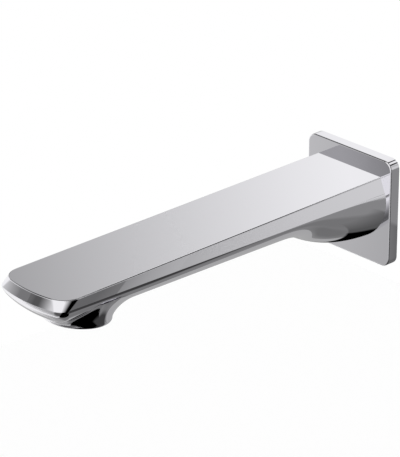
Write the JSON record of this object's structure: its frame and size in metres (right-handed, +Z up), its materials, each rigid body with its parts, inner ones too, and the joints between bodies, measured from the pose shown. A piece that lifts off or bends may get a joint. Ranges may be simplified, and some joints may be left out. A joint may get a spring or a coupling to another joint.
{
  "type": "wall-mounted spout",
  "caption": "Square-plated chrome wall spout with a flat top, flared sides, a rounded belly at the wall and a round outlet boss under the tip.",
  "frame": {"origin": "centre of the wall plate on the wall plane, on the axis of the inlet thread", "axes": "+Z up, -Y out of the wall along the spout to its tip, +X to the right as seen from in front"},
  "size_m": [0.052, 0.2126, 0.052],
  "materials": {
    "spout_chrome": "polished chrome plate on cast brass",
    "plate_chrome": "polished chrome plate on pressed brass",
    "foam": "closed-cell foam",
    "seal_rubber": "matt",
    "nipple_brass": "turned",
    "fibre_washer": "matt fibre",
    "strainer_steel": "perforated sheet",
    "ring_rubber": "matt",
    "screw_steel": "dark steel",
    "plug_chrome": "metallised plastic",
    "housing_chrome": "polished chrome plate on brass",
    "washer_rubber": "matt",
    "cage_plastic": "moulded",
    "jet_plastic": "moulded",
    "limiter_plastic": "moulded",
    "limiter_rubber": "matt",
    "filter_plastic": "moulded",
    "screen_steel": "fine sheet",
    "grid_plastic": "moulded, grey"
  },
  "bodies": {
    "root": {"spout_body": "spout_chrome", "wall_plate": "plate_chrome", "plate_gasket": "foam", "body_seal": "seal_rubber", "wall_nipple": "nipple_brass", "nipple_washer": "fibre_washer", "inlet_strainer": "strainer_steel", "spigot_ring_rear": "ring_rubber", "spigot_ring_front": "ring_rubber", "grub_screw": "screw_steel", "grub_plug": "plug_chrome", "aerator_housing": "housing_chrome", "aerator_washer": "washer_rubber", "aerator_cage": "cage_plastic", "jet_plate": "jet_plastic", "flow_limiter": "limiter_plastic", "limiter_ring": "limiter_rubber", "dome_filter": "filter_plastic", "screen_upper": "screen_steel", "screen_lower": "screen_steel", "outlet_grid": "grid_plastic"}
  },
  "joints": []
}
